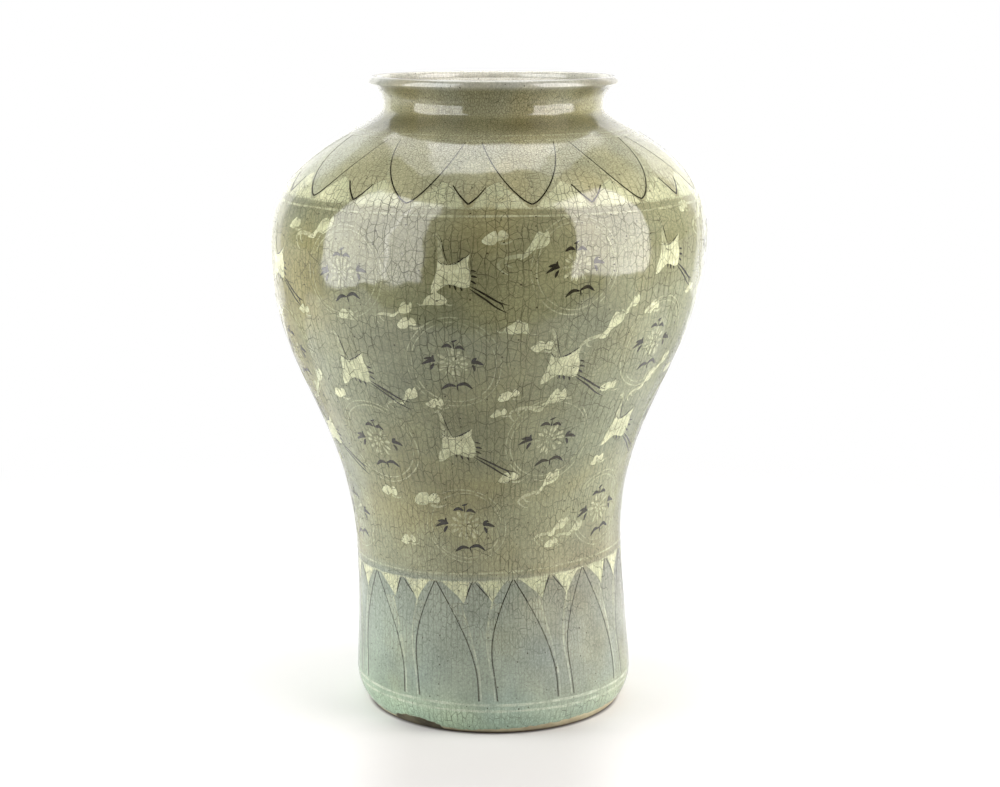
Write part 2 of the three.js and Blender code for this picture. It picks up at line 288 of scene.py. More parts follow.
class Slip:
    """Thin closed bodies of slip over the outside of the vase, gathered for one piece."""

    def __init__(self):
        self.points, self.faces, self.normals = [], [], []

    def lay(self, flat, triangles, place):
        """Carries flat triangles onto the vase; place turns a flat point into (angle, height)."""
        places = [place(*point) for point in flat]
        first, count = len(self.points), len(flat)
        tops = [on_vase(angle, height, SLIP_LIFT) for angle, height in places]
        self.points += [point for point, _ in tops]
        self.points += [on_vase(angle, height, -SLIP_DEPTH)[0] for angle, height in places]
        edges = set()
        for a, b, c in triangles:
            if facing(places[a], places[b], places[c]) < 0:
                b, c = c, b
            edges |= {(a, b), (b, c), (c, a)}
            self.add_face((a, b, c), first, [tops[i][1] for i in (a, b, c)])
            self.add_face((a, c, b), first + count, [-tops[i][1] for i in (a, c, b)])
        for a, b in edges:
            if (b, a) not in edges:
                along = Vector(self.points[first + b]) - Vector(self.points[first + a])
                side = along.cross(tops[a][1]).normalized()
                self.add_face((b, a, count + a, count + b), first, [side] * 4)

    def add_face(self, corners, first, normals):
        self.faces.append([first + corner for corner in corners])
        self.normals += normals

    def fill(self, outline, place):
        """A filled shape."""
        low = [min(point[axis] for point in outline) for axis in (0, 1)]
        high = [max(point[axis] for point in outline) for axis in (0, 1)]
        columns, rows = (int((b - a) / FILL_CELL) for a, b in zip(low, high))
        grid = [(low[0] + FILL_CELL * (i + 0.5), low[1] + FILL_CELL * (j + 0.5))
                for i in range(columns) for j in range(rows)]
        edges = [(i, (i + 1) % len(outline)) for i in range(len(outline))]
        inside_only = 1
        tolerance = 1e-4
        made = delaunay_2d_cdt([Vector(p) for p in (*outline, *grid)], edges, [], inside_only, tolerance)
        used = sorted({corner for face in made[2] for corner in face})
        renumber = {old: new for new, old in enumerate(used)}
        triangles = [[renumber[corner] for corner in face] for face in made[2]]
        self.lay([tuple(made[0][old]) for old in used], triangles, place)

    def stroke(self, path, width, place, closed=False):
        """A line along a path; width is a function of the share of the path that is behind."""
        count = len(path)
        flat = []
        for number, (across, up) in enumerate(path):
            before = path[number - 1] if closed or number else path[0]
            after = path[(number + 1) % count] if closed or number < count - 1 else path[-1]
            dx, dy = after[0] - before[0], after[1] - before[1]
            scale = width(number / (count - 1)) / 2 / math.hypot(dx, dy)
            flat += [(across - dy * scale, up + dx * scale), (across + dy * scale, up - dx * scale)]
        triangles = []
        for number in range(count if closed else count - 1):
            left, right = 2 * number, 2 * number + 1
            next_left, next_right = (left + 2) % (2 * count), (right + 2) % (2 * count)
            triangles += [(right, next_right, next_left), (right, next_left, left)]
        self.lay(flat, triangles, place)

    def make(self, name, material, *nodes):
        add_piece(name, self.points, self.faces, self.normals, material, *nodes)


def facing(a, b, c):
    """Which way round three (angle, height) places run: over 0 is seen from outside as anticlockwise."""
    return (b[0] - a[0]) * (c[1] - a[1]) - (c[0] - a[0]) * (b[1] - a[1])


# Flat shapes

def smooth(points, closed=False):
    """A curve through points, in steps of about PATH_STEP."""
    count = len(points)
    path = []
    for number in range(count if closed else count - 1):
        around = []
        for shift in (-1, 0, 1, 2):
            at = number + shift
            around.append(points[at % count] if closed else points[min(max(at, 0), count - 1)])
        steps = max(2, round(math.dist(around[1], around[2]) / PATH_STEP))
        for step in range(steps):
            path.append(tuple(spline(step / steps, *axis) for axis in zip(*around)))
    if not closed:
        path.append(tuple(points[-1]))
    return path


def spline(t, a, b, c, d):
    """A value on the way from b to c, bent by the values before and after them."""
    bend = (2 * a - 5 * b + 4 * c - d) * t * t + (3 * b - a - 3 * c + d) * t ** 3
    return 0.5 * (2 * b + (c - a) * t + bend)


def corner_outline(*runs):
    """A closed outline of curves that meet at corners."""
    return [point for run in runs for point in smooth(run)[:-1]]


def brush(widest, peak=0.45):
    """The width of a brush stroke that swells from a fine start and ends in a point."""
    finest = 0.12

    def width(share):
        swell = share / peak if share < peak else (1 - share) / (1 - peak)
        return widest * max(finest, math.sin(0.5 * math.pi * swell) ** 0.8)
    return width


def taper(start, end):
    return lambda share: start + (end - start) * share


def band_lift(angle, height):
    """How far a band at a height rises on its tilted plane."""
    return radius_at(height) * math.sin(angle) * math.tan(BAND_TILT)


def motif_place(degrees, height, turn=0, size=1):
    """Carries a motif drawn about its own centre, in millimetres, to its place in the tilted lattice."""
    angle = math.radians(degrees)
    lean = math.radians(turn) + BAND_TILT * math.cos(angle)
    middle = height + band_lift(angle, height)

    def place(across, up):
        across, up = size * across, size * up
        over = across * math.cos(lean) - up * math.sin(lean)
        rise = across * math.sin(lean) + up * math.cos(lean)
        return angle + over / radius_at(middle + rise), middle + rise
    return place


def band_place(tilt_share):
    """Carries points given as (millimetres round the waist, height) onto a band tilted by tilt_share."""
    def place(across, height):
        angle = across / WAIST_RADIUS
        return angle, height + tilt_share(height) * band_lift(angle, height)
    return place


def level(height):
    return 0


def tilted(height):
    return 1


def lappet_tilt(height):
    """The lappets' tips follow the tilted line and their feet stand on the level lines above the foot."""
    return min(max((height - SKIRT_HEIGHT) / (LAPPET_LINE - SKIRT_HEIGHT), 0), 1)


def round_waist(degrees):
    return math.radians(degrees) * WAIST_RADIUS


def line_all_round(slip, height, width, tilt_share):
    """A hand-drawn line all round, a little uneven in height and width."""
    wobble = 0.16
    phases = [hand.uniform(0, 2 * math.pi) for _ in range(3)]
    path, widths = [], []
    for degrees in range(-180, 181):
        angle = math.radians(degrees)
        sway = sum(math.sin(wave * angle + phase) for wave, phase in zip((3, 7, 13), phases))
        swell = math.sin(11 * angle + phases[0]) + math.sin(23 * angle + phases[1])
        path.append((round_waist(degrees), height + wobble * sway / 2))
        widths.append(width * (1 + wobble * swell))
    slip.stroke(path, lambda share: widths[round(share * (len(widths) - 1))], band_place(tilt_share))


# Materials

class Value:
    """Something that a material works out: a number, a place, a colour or a shader."""

    def __init__(self, socket):
        self.socket = socket
        self.tree = socket.id_data

    def math(self, operation, other=0.0):
        return work_out(self.tree, "ShaderNodeMath", {0: self, 1: other}, operation=operation)

    def __add__(self, other):
        return self.math("ADD", other)

    def __sub__(self, other):
        return self.math("SUBTRACT", other)

    def __rsub__(self, other):
        return work_out(self.tree, "ShaderNodeMath", {0: other, 1: self}, operation="SUBTRACT")

    def __mul__(self, other):
        return self.math("MULTIPLY", other)

    def __gt__(self, other):
        return self.math("GREATER_THAN", other)

    def __abs__(self):
        return self.math("ABSOLUTE")

    def most(self, other):
        """The greater of two numbers."""
        return self.math("MAXIMUM", other)

    def mix(self, first, second):
        """A number between two others, of which this share is the second."""
        return work_out(self.tree, "ShaderNodeMix", {0: self, 2: first, 3: second}, data_type="FLOAT")

    def remap(self, low, high, to_low=0.0, to_high=1.0, way="LINEAR"):
        """A number that goes from to_low to to_high while this one goes from low to high."""
        inputs = {"Value": self, "From Min": low, "From Max": high, "To Min": to_low, "To Max": to_high}
        return work_out(self.tree, "ShaderNodeMapRange", inputs, interpolation_type=way, clamp=True)

    def ease(self, low, high, to_low=0.0, to_high=1.0):
        """The same with a soft start and end."""
        return self.remap(low, high, to_low, to_high, "SMOOTHSTEP")

    def spread(self, to_low=0.0, to_high=1.0):
        """The range that most of a noise covers, carried over to another range."""
        return self.remap(0.3, 0.7, to_low, to_high)

    def vector(self, operation, other=(0, 0, 0), output=0):
        return work_out(self.tree, "ShaderNodeVectorMath", {0: self, 1: other}, output, operation=operation)

    def stretch(self, amounts):
        return self.vector("MULTIPLY", amounts)

    def length(self):
        return self.vector("LENGTH", output="Value")

    def parts(self):
        """The three numbers of a place."""
        return [Value(socket) for socket in add_node(self.tree, "ShaderNodeSeparateXYZ", {0: self}).outputs]

    def noise(self, scale, detail=2.0, roughness=0.5, output="Fac"):
        """Noise at a place, with about as many lumps to the metre as the scale says."""
        inputs = {"Vector": self, "Scale": scale, "Detail": detail, "Roughness": roughness}
        return work_out(self.tree, "ShaderNodeTexNoise", inputs, output)

    def cracks(self, cell, half_width, dimensions="2D"):
        """Lines between the cells of a broken surface, 1 on a line and 0 off it."""
        inputs = {"W" if dimensions == "1D" else "Vector": self, "Scale": 1 / (MM * cell)}
        settings = {"feature": "DISTANCE_TO_EDGE", "voronoi_dimensions": dimensions}
        edge = half_width / cell
        to_edge = work_out(self.tree, "ShaderNodeTexVoronoi", inputs, "Distance", **settings)
        return to_edge.remap(0.5 * edge, 1.5 * edge, 1.0, 0.0)

    def blend(self, first, second):
        """A colour between two others, of which this share is the second."""
        return work_out(self.tree, "ShaderNodeMix", {0: self, 6: first, 7: second}, 2, data_type="RGBA")

    def times(self, other):
        """This colour multiplied by another one or by a number."""
        settings = {"data_type": "RGBA", "blend_type": "MULTIPLY"}
        return work_out(self.tree, "ShaderNodeMix", {0: 1.0, 6: self, 7: other}, 2, **settings)

    def shift(self, share, change):
        """This colour with a share of a change that multiplies it."""
        return share.blend(self, self.times(change))

    def bump(self, strength, distance):
        inputs = {"Height": self, "Strength": strength, "Distance": distance}
        return work_out(self.tree, "ShaderNodeBump", inputs)

    def shade(self, first, second):
        """A shader between two others, of which this share is the second."""
        return work_out(self.tree, "ShaderNodeMixShader", {0: self, 1: first, 2: second})


def add_node(tree, kind, inputs=None, **settings):
    """A step of a material, with its settings and a value or number for each input."""
    node = tree.nodes.new(kind)
    for name, setting in settings.items():
        setattr(node, name, setting)
    for name, value in (inputs or {}).items():
        socket = node.inputs[name]
        if isinstance(value, Value):
            tree.links.new(value.socket, socket)
        else:
            socket.default_value = (*value, 1) if socket.type == "RGBA" else value
    return node


def work_out(tree, kind, inputs=None, output=0, **settings):
    return Value(add_node(tree, kind, inputs, **settings).outputs[output])


WHITE = (1.0, 1.0, 1.0)
CRAZE_DARK = (0.020, 0.018, 0.008)
SPECK_DARK = (0.030, 0.022, 0.012)
# Glaze inside the mouth: pale at the rim with painted light, and darker deeper down as painted shade
INSIDE_PALE_LIT, INSIDE_DEEP_SHADE = (0.650, 0.635, 0.540), (0.350, 0.330, 0.230)
SLIP_GREEN, SLIP_CREAM, SLIP_AT_FOOT = (0.370, 0.388, 0.232), (0.555, 0.556, 0.350), (0.500, 0.540, 0.420)
BLACK_FULL, BLACK_WORN, BLACK_CRAZE = (0.016, 0.014, 0.007), (0.075, 0.070, 0.036), (0.008, 0.007, 0.004)
CLAY_BROWN, CLAY_PALE, CLAY_GRIT = (0.270, 0.225, 0.140), (0.440, 0.395, 0.260), (0.140, 0.098, 0.062)
# Darkest at the standing edge: a stain of the clay and a painted contact shadow
CLAY_STAIN_AND_SHADOW = (0.045, 0.030, 0.020)
# The broken chip: bare clay with painted shade in its hollow
CHIP_SHADE_DARK, CHIP_SHADE_PALE = (0.044, 0.036, 0.022), (0.105, 0.092, 0.058)

# Changes that multiply the glaze's colour in places; the last three are painted shade
COOLER = (0.94, 1.00, 1.15)
WARMER = (1.06, 0.99, 0.86)
GREYER_PAINTED_SHADE = (0.90, 0.83, 0.80)
GREENER_PAINTED_SHADE = (0.87, 0.92, 0.94)
LIP_ENDS_PAINTED_SHADE = (0.62, 0.63, 0.68)

# Craze lines: the size of their cells and half their width
LONG_CRACKS = (4.7, 0.21)
TALL_NET = (4.0, 0.14)
SMALL_NET = (2.8, 0.14)
FINE_NET = (2.0, 0.13)
TALL_CELLS = (1, 0.6, 0)
CRAZE_BEND = (0.0048, 0.0060, 0)

# The broken chip at the foot, in metres
CHIP_PLACE = (-0.0430, -0.0625, 0.0015)
CHIP_REACH, CHIP_EDGE = 0.0175, 0.0190
CHIP_FLATNESS = (1.0, 1.0, 3.2)

# The glaze's colour at heights from the foot to the lip
GLAZE_TONES = (
    (0, (0.285, 0.390, 0.262)),
    (14, (0.325, 0.402, 0.278)),
    (24, (0.240, 0.285, 0.210)),
    (34, (0.226, 0.264, 0.200)),
    (65, (0.216, 0.245, 0.188)),
    (92, (0.198, 0.217, 0.162)),
    (99, (0.208, 0.208, 0.121)),
    (125, (0.208, 0.210, 0.118)),
    (160, (0.170, 0.173, 0.095)),
    (215, (0.168, 0.168, 0.087)),
    (285, (0.184, 0.180, 0.091)),
    (312, (0.205, 0.200, 0.108)),
    (318, (0.318, 0.308, 0.178)),
    (345, (0.305, 0.297, 0.174)),
    (349, (0.290, 0.280, 0.165)),
    (353, (0.195, 0.186, 0.100)),
    (357, (0.162, 0.155, 0.080)),
    (361, (0.235, 0.225, 0.128)),
    (374, (0.200, 0.190, 0.110)),
    (376, (0.275, 0.268, 0.204)),
    (378, (0.300, 0.293, 0.226)),
)


class Glaze:
    """What every glazed surface shares: its place on the vase, its craze lines and its specks."""

    def __init__(self, tree, level_surface=False):
        self.tree = tree
        self.place = work_out(tree, "ShaderNodeTexCoord", output="Object")
        self.across, self.deep, self.height = self.place.parts()
        self.level_place = self.place.stretch((1, 1, 0))
        self.to_axis = self.level_place.length()
        self.skin = self.place if level_surface else self.unroll()
        self.craze = self.make_craze()
        self.specks = self.make_specks()

    def rise(self, low, high, to_low=0.0, to_high=1.0):
        """A number that changes between two heights."""
        return self.height.remap(MM * low, MM * high, to_low, to_high)

    def rightwards(self, left, right, to_left=0.0, to_right=1.0):
        """A number that changes between two places across the front."""
        return self.across.remap(MM * left, MM * right, to_left, to_right)

    def unroll(self):
        """The surface laid flat: metres round the vase from its front, and metres up its slope."""
        mean_radius = 0.105
        round_vase = self.across.math("ARCTAN2", self.deep * -1.0) * mean_radius
        on_neck = self.height > MM * NECK_HEIGHT
        drawn_in = on_neck.mix(MM * BELLY_RADIUS - self.to_axis, MM * (BELLY_RADIUS - NECK_RADIUS))
        on_shoulder = self.height > MM * BELLY_HEIGHT
        up_slope = self.height + drawn_in * on_shoulder
        return work_out(self.tree, "ShaderNodeCombineXYZ", {"X": round_vase, "Y": up_slope})

    def make_craze(self):
        """Long upright cracks, a net of tall cells between them, small cells in patches, and a fine net."""
        wander = self.skin.noise(55.0, 5.0, 0.6, "Color").vector("SUBTRACT", (0.5, 0.5, 0.5))
        bent = self.skin.vector("ADD", wander.stretch(CRAZE_BEND))
        long_cracks = bent.parts()[0].cracks(*LONG_CRACKS, "1D")
        tall_net = bent.stretch(TALL_CELLS).cracks(*TALL_NET)
        small_net = bent.cracks(*SMALL_NET)
        fine_net = bent.cracks(*FINE_NET)
        tall_share, neck_share = 0.92, 0.7
        patch = self.skin.noise(16.0, 3.0).remap(0.42, 0.58)
        on_body = long_cracks * patch.remap(0, 1, 0.7, 1.0)
        on_body = on_body.most(tall_net * tall_share)
        on_body = on_body.most(small_net * patch.remap(0, 1, 0.6, 0.1))
        on_foot = on_body * self.rise(30, 80, 0.3, 0.95).most(self.rise(12, 24, 0.9, 0.0))
        below_petals = self.rise(LAPPET_LINE - 14, LAPPET_LINE).mix(on_foot, on_body)
        lines = self.rise(326, 334).mix(below_petals, tall_net * neck_share)
        lines = lines * self.skin.noise(55.0, 3.0).remap(0.35, 0.6, 0.5, 1.0)
        lines = lines.most(fine_net * self.rise(326, 340, 0.3, 0.8))
        return lines * self.rise(373, 376, 1.0, 0.25)

    def make_specks(self):
        """Pinholes and iron specks in a few of the cells of a coarse lattice."""
        inputs = {"Vector": self.skin, "Scale": 135.0}
        settings = {"feature": "F1", "voronoi_dimensions": "2D"}
        cells = add_node(self.tree, "ShaderNodeTexVoronoi", inputs, **settings)
        chosen = work_out(self.tree, "ShaderNodeSeparateColor", {0: Value(cells.outputs["Color"])})
        size = chosen.remap(0.52, 1.0, 0.0, 0.075)
        return Value(cells.outputs["Distance"]).math("LESS_THAN", size)

    def tone_at_height(self):
        ramp = add_node(self.tree, "ShaderNodeValToRGB", {0: self.rise(0, CREST_HEIGHT)})
        stops = ramp.color_ramp.elements
        stops.remove(stops[1])
        for height, colour in GLAZE_TONES:
            stop = stops.new(height / CREST_HEIGHT) if height else stops[0]
            stop.color = (*colour, 1)
        return Value(ramp.outputs[0])

    def clay_tone(self):
        """The glaze's colour by height, mottled, streaked and in places changed; paler inside, with painted
        light and shade.
        """
        mottle = self.skin.noise(30.0, 5.0, 0.6).spread(0.82, 1.2)
        streaks = self.skin.stretch((1, 0.06, 0)).noise(800.0).spread(0.96, 1.05)
        grain = self.skin.noise(520.0, 3.0, 0.6).spread(0.84, 1.18)
        light = mottle * streaks * grain
        right_flank = self.rise(130, 170) * self.rise(250, 280, 1.0, 0.0) * self.rightwards(15, 50)
        cool = self.place.noise(9.0, 3.0).remap(0.48, 0.62).most(right_flank)
        warm = self.place.noise(14.0, 3.0).remap(0.5, 0.66)
        near_foot = self.rise(90, 130, 1.0, 0.0)
        # Painted shade: the lip is darkened towards its left and right ends across the front
        lip_ends_painted_shade = abs(self.across).remap(0.050, 0.072) * self.rise(368, 373)
        tone = self.tone_at_height().times(light)
        tone = tone.shift(cool, COOLER)
        tone = tone.shift(warm, WARMER)
        # Painted shade: near the foot the right flank is darkened and greyed, and the left flank darkened and
        # greened
        tone = tone.shift(near_foot * self.rightwards(12, 45), GREYER_PAINTED_SHADE)
        tone = tone.shift(near_foot * self.rightwards(-62, -20, 1.0, 0.0), GREENER_PAINTED_SHADE)
        tone = tone.shift(lip_ends_painted_shade, LIP_ENDS_PAINTED_SHADE)
        normal = work_out(self.tree, "ShaderNodeNewGeometry", output="Normal")
        outward = self.level_place.vector("NORMALIZE")
        inside = normal.vector("DOT_PRODUCT", outward, "Value").remap(-0.3, 0.0, 1.0, 0.0)
        # Painted light just inside the rim, and painted shade deeper inside the vase
        inside_lit_and_shaded = self.rise(374.5, 376.8, 1.0, 0.0).blend(INSIDE_PALE_LIT, INSIDE_DEEP_SHADE)
        return inside.blend(tone, inside_lit_and_shaded.times(light))

    def finish(self, colour, crack_share, crack_colour=CRAZE_DARK):
        """A glossy skin in a colour, with the craze lines and specks drawn in it."""
        speck_share, pit_share = 0.85, 0.012
        relief = self.place.noise(27.0) + self.place.noise(420.0) * pit_share
        skin = work_out(self.tree, "ShaderNodeBsdfPrincipled", {
            "Base Color": (self.specks * speck_share).blend(colour, SPECK_DARK),
            "Roughness": self.place.noise(60.0, 3.0).spread(0.07, 0.13),
            "Normal": relief.bump(strength=0.8, distance=0.0016),
        })
        crack = work_out(self.tree, "ShaderNodeBsdfPrincipled", {
            "Base Color": crack_colour, "Roughness": 0.7, "Specular IOR Level": 0.1,
        })
        return (self.craze * crack_share).shade(skin, crack)


def new_material(name):
    material = bpy.data.materials.new(name)
    material.use_nodes = True
    material.node_tree.nodes.clear()
    return material


def set_surface(material, shader):
    add_node(material.node_tree, "ShaderNodeOutputMaterial", {"Surface": shader})
    return material


def glaze_material(name, level_surface=False):
    material = new_material(name)
    glaze = Glaze(material.node_tree, level_surface)
    return set_surface(material, glaze.finish(glaze.clay_tone(), crack_share=0.82))


def white_material(name, body):
    """White slip under the glaze; body is how much of it shows, from a thin wash to a full inlay."""
    material = new_material(name)
    glaze = Glaze(material.node_tree)
    full = glaze.place.noise(170.0, 3.0, 0.6).remap(0.34, 0.6, max(body - 0.5, 0.0), body)
    slip = glaze.place.noise(45.0, 3.0).spread().blend(SLIP_GREEN, SLIP_CREAM)
    slip = glaze.rise(30, 85, 1.0, 0.0).blend(slip, SLIP_AT_FOOT)
    colour = full.blend(glaze.clay_tone(), slip)
    return set_surface(material, glaze.finish(colour, crack_share=0.9))


def black_material():
    material = new_material("black_slip")
    glaze = Glaze(material.node_tree)
    worn = glaze.place.noise(200.0, 3.0).remap(0.45, 0.75, 0.0, 0.35)
    colour = worn.blend(BLACK_FULL, BLACK_WORN)
    return set_surface(material, glaze.finish(colour, crack_share=0.4, crack_colour=BLACK_CRAZE))


def foot_material():
    """Bare gritty clay at the standing edge, with the glaze ending above it in an uneven edge."""
    material = new_material("bare_clay")
    glaze = Glaze(material.node_tree)
    grain = glaze.place.noise(900.0, 4.0, 0.7)
    stain = glaze.place.noise(55.0, 4.0, 0.6)
    ragged = glaze.place.noise(260.0, 3.0).remap(0.2, 0.8, -0.003, 0.003)
    from_chip = glaze.place.vector("SUBTRACT", CHIP_PLACE).stretch(CHIP_FLATNESS).length()
    chip = (from_chip + ragged).remap(CHIP_REACH, CHIP_EDGE, 1.0, 0.0)
    clay = stain.remap(0.35, 0.65).blend(CLAY_BROWN, CLAY_PALE)
    clay = grain.remap(0.55, 0.75, 0.0, 0.5).blend(clay, CLAY_GRIT)
    # Darker towards the standing edge: a stain of the clay and a painted contact shadow
    clay = glaze.rise(0.5, 2.2, 0.9, 0.0).blend(clay, CLAY_STAIN_AND_SHADOW)
    # Painted shade: the chip's hollow is painted dark over its bare clay
    clay = chip.blend(clay, stain.remap(0.4, 0.6).blend(CHIP_SHADE_DARK, CHIP_SHADE_PALE))
    bare = work_out(glaze.tree, "ShaderNodeBsdfPrincipled", {
        "Base Color": clay,
        "Roughness": 0.88,
        "Normal": grain.bump(strength=0.6, distance=0.0006),
        "Specular IOR Level": 0.25,
    })
    outside = glaze.to_axis.remap(MM * (FOOT_RADIUS - 4.5), MM * (FOOT_RADIUS - 3.5))
    ragged_share = 0.35
    edge = glaze.rightwards(-10, 55, 0.0026, 0.0062) + ragged * ragged_share
    glazed = outside * (glaze.height > edge) * (1.0 - chip)
    return set_surface(material, glazed.shade(bare, glaze.finish(glaze.clay_tone(), crack_share=0.6)))


celadon = glaze_material("celadon_glaze")
celadon_floor = glaze_material("celadon_glaze_floor", level_surface=True)
white_slip = white_material("white_slip", 1.0)
thin_slip = white_material("white_slip_thin", 0.6)
faint_slip = white_material("white_slip_faint", 0.42)
wash_slip = white_material("white_slip_wash", 0.16)
black_slip = black_material()
bare_clay = foot_material()


# Thrown sections and lines all round

def build_sections():
    outer = between(OUTER_LINE, 0, FOOT_HEIGHT)
    foot_corners = (
        outer[-1],
        (FOOT_BORE, FOOT_HEIGHT),
        (FOOT_BORE, FOOT_CHAMFER),
        (FOOT_BORE + FOOT_CHAMFER, 0),
        (FOOT_RADIUS, 0),
    )
    turned_piece("foot_ring_clay", [outer, *flat_runs(*foot_corners)], bare_clay, "foot_ring")

    floor_corners = ((0, FOOT_HEIGHT), (FLOOR_RADIUS, FOOT_HEIGHT), (FLOOR_RADIUS, FLOOR_TOP), (0, FLOOR_TOP))
    turned_piece("base_floor_glazed", flat_runs(*floor_corners), celadon_floor, "base_floor")

    outer = between(OUTER_LINE, FOOT_HEIGHT, BODY_SEAM)
    inner = reverse_run(between(INNER_LINE, HEEL_TOP, BODY_SEAM))
    seam = flat_runs(outer[-1], inner[0])
    heel = flat_runs(inner[-1], (HEEL_RADIUS, FLOOR_TOP), (HEEL_RADIUS, FOOT_HEIGHT), outer[0])
    turned_piece("lower_wall_glazed", [outer, *seam, inner, *heel], celadon, "lower_wall")

    outer = between(OUTER_LINE, BODY_SEAM, NECK_SEAM)
    inner = reverse_run(between(INNER_LINE, BODY_SEAM, NECK_SEAM))
    top, bottom = flat_runs(outer[-1], inner[0]), flat_runs(inner[-1], outer[0])
    turned_piece("upper_wall_glazed", [outer, *top, inner, *bottom], celadon, "upper_wall")

    outer = between(OUTER_LINE, NECK_SEAM, CREST_HEIGHT)
    inner = reverse_run(between(INNER_LINE, NECK_SEAM, CREST_HEIGHT))
    bottom = flat_runs(inner[-1], outer[0])
    turned_piece("neck_glazed", [outer, inner, *bottom], celadon, "neck")


def build_lines():
    lines = (
        ("foot_line_lower", FOOT_LINES[0], FOOT_LINE_WIDTH, level, thin_slip),
        ("foot_line_upper", FOOT_LINES[1], FOOT_LINE_WIDTH, level, thin_slip),
        ("lappet_line_upper", LAPPET_LINE_UPPER, LINE_WIDTH, tilted, faint_slip),
        ("shoulder_line", SHOULDER_LINE, LINE_WIDTH, level, thin_slip),
        ("neck_line_lower", NECK_LINES[0], NECK_LINE_WIDTH, level, faint_slip),
        ("neck_line_upper", NECK_LINES[1], NECK_LINE_WIDTH, level, faint_slip),
    )
    for node, height, width, tilt_share, material in lines:
        slip = Slip()
        line_all_round(slip, height, width, tilt_share)
        slip.make(node + "_inlay", material, node)


# Petals on the shoulder

PETAL_TIP = 316
PETAL_ROOT = 347
PETAL_HALF, PETAL_LEAN = 13.3, -1.2
PETAL_ROUNDNESS = 0.72
SMALL_PETAL_TOP = 325.5
# The white ground beside a petal's tip: up to its corner between two petals, and down again
PETAL_GROUND = (
    (0.8, PETAL_BASE), (3.2, 319.0), (5.7, 322.8), (8.7, 327.3),
    (11.4, 325.0), (13.4, 320.6), (15.7, PETAL_BASE),
)


def petal_edge(side, share):
    """A point on a large petal's edge, in degrees from its tip and height; share runs from tip to root."""
    degrees = side * PETAL_HALF * share ** PETAL_ROUNDNESS + PETAL_LEAN * share
    return degrees, PETAL_TIP + (PETAL_ROOT - PETAL_TIP) * share


def to_band(tip, points):
    """Points given in degrees from a tip, as millimetres round the waist."""
    return [(round_waist(tip + degrees), height) for degrees, height in points]


def band_path(tip, points):
    return smooth(to_band(tip, points))


def band_outline(tip, *runs):
    return corner_outline(*(to_band(tip, run) for run in runs))


def build_petals():
    place = band_place(level)
    pitch = 360 / PETAL_COUNT
    ground, line, stripes, outlines = Slip(), Slip(), Slip(), Slip()
    line_all_round(line, PETAL_BASE, LINE_WIDTH, level)
    for number in range(PETAL_COUNT):
        tip = PETAL_ANGLE + pitch * number
        for side in (-1, 1):
            ground_edge = [(side * degrees, height) for degrees, height in PETAL_GROUND]
            near, far = ground_edge[:4], ground_edge[3:]
            ground.fill(band_outline(tip, near, far, (far[-1], near[0])), place)
            edge = [petal_edge(side, share) for share in (0.0, 0.03, 0.1, 0.25, 0.45, 0.7, 1.0)]
            outlines.stroke(band_path(tip, edge), taper(0.68, 0.25), place)
            stripe = [(degrees + side * 1.1, height + 0.6) for degrees, height in edge[3:]]
            stripes.stroke(band_path(tip, stripe), taper(1.3, 0.7), place)
        small = tip + pitch / 2
        leaf = ((-4.7, SMALL_PETAL_TOP), (-2.4, 320.4), (0, PETAL_TIP))
        outlines.stroke(band_path(small, leaf), taper(0.5, 0.8), place)
        leaf = ((0, PETAL_TIP), (2.2, 319.8), (4.2, 324.6))
        outlines.stroke(band_path(small, leaf), taper(0.8, 0.4), place)
    ground.make("petal_ground_inlay", white_slip, "petal_ground")
    line.make("petal_ground_line", faint_slip)
    stripes.make("petal_stripes", faint_slip)
    outlines.make("petal_outlines", black_slip)


# Lappets above the foot

LAPPET_TIP = 95
LAPPET_FOOT = 22.5
# A lappet's edges: their reach in degrees, the share where they stand upright, and how they draw in below it
LEFT_EDGE = (10.2, 0.63, 5.0)
RIGHT_EDGE = (17.0, 0.95, 0.0)
# The stems beside those edges: how far they stand off and how sharply they close in, and where they do
LEFT_STEM = (6.8, 1.2)
RIGHT_STEM = (10.8, 1.6)
STEM_GAP, STEM_MEETS = 0.95, 0.75
SPANDRELS = {
    -1: ((-2.6, LAPPET_LINE), (-5.6, 89.2), (-7.6, 85.0), (-9.0, 81.0), (-10.6, 85.5), (-14.6, LAPPET_LINE)),
    1: ((2.6, LAPPET_LINE), (6.6, 89.4), (9.6, 85.4), (11.9, 81.0), (13.2, 86.0), (15.0, LAPPET_LINE)),
}


def lappet_edge(side, share):
    """A point on a large lappet's edge, in degrees from its tip and height; share runs from tip to foot."""
    reach, upright_from, draw_in = LEFT_EDGE if side < 0 else RIGHT_EDGE
    degrees = reach * math.sin(0.5 * math.pi * min(share / upright_from, 1))
    degrees -= draw_in * max(share - upright_from, 0)
    return side * degrees, LAPPET_TIP - (LAPPET_TIP - LAPPET_FOOT) * share


def lappet_stem(side, share):
    """A point on the stem beside a large lappet, which closes in on the lappet's edge towards its foot."""
    degrees, height = lappet_edge(side, share)
    widest, bend = LEFT_STEM if side < 0 else RIGHT_STEM
    gap = STEM_GAP + widest * max(STEM_MEETS - share, 0) ** bend
    return degrees + side * gap, height


